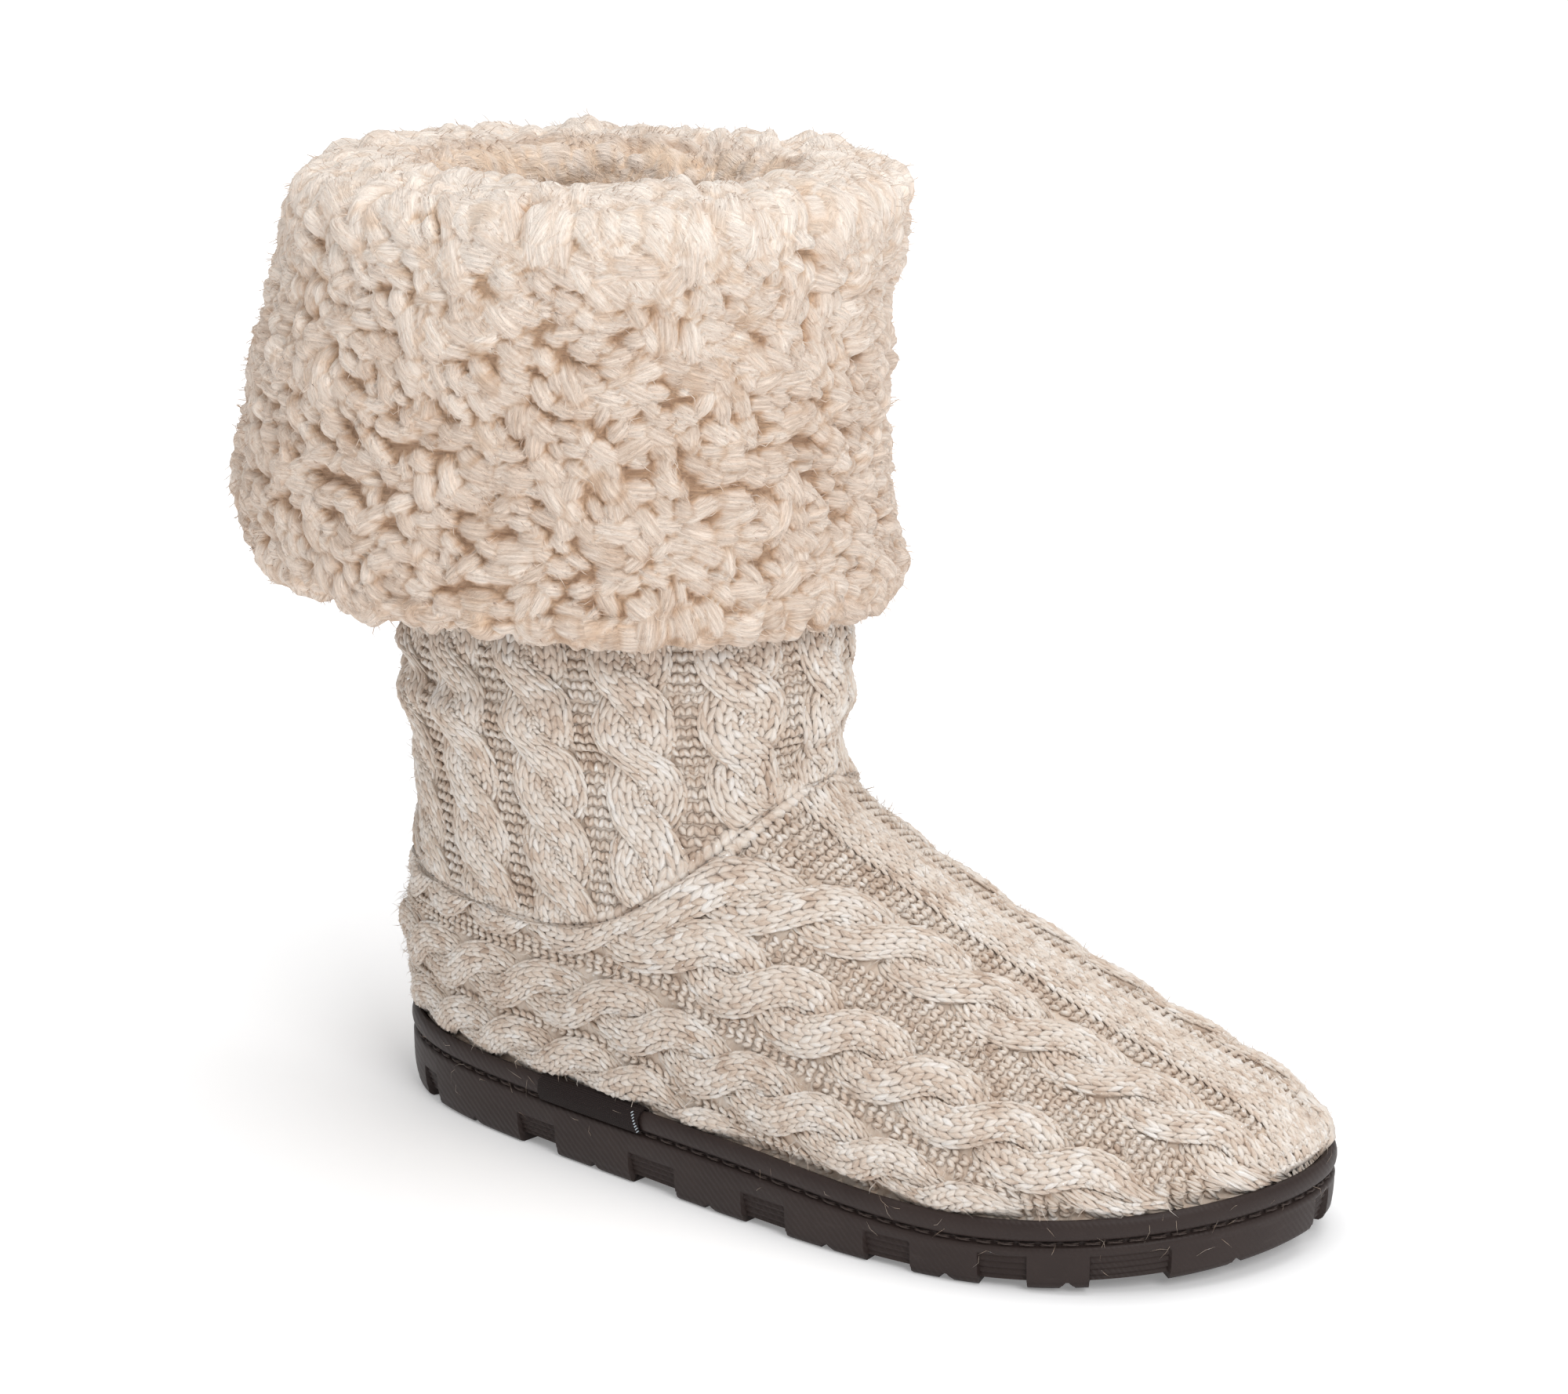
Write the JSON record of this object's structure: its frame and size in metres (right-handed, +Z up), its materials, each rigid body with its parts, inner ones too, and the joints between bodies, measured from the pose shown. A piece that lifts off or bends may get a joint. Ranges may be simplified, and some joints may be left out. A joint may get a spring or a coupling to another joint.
{
  "type": "knit boot slipper",
  "caption": "Ankle-high cable-knit boot slipper with a turned-down fleece cuff, insole and lugged rubber unit sole; right foot.",
  "frame": {"origin": "middle of the flat heel tread, on the floor", "axes": "+X toward the toe, +Y toward the inner (medial) side of the right foot, +Z up"},
  "size_m": [0.3125, 0.1611, 0.263],
  "materials": {
    "rubber_sole": "matt moulded rubber",
    "insole_fleece": "short fleece",
    "knit": "cable knit, cream and oatmeal yarn with fine silver thread",
    "fleece": "deep curly fleece",
    "woven_tab": "woven tape"
  },
  "bodies": {
    "root": {"outsole": "rubber_sole", "insole": "insole_fleece", "knit_foot": "knit", "knit_shaft": "knit", "fleece_cuff": "fleece", "side_tab": "woven_tab"}
  },
  "joints": []
}
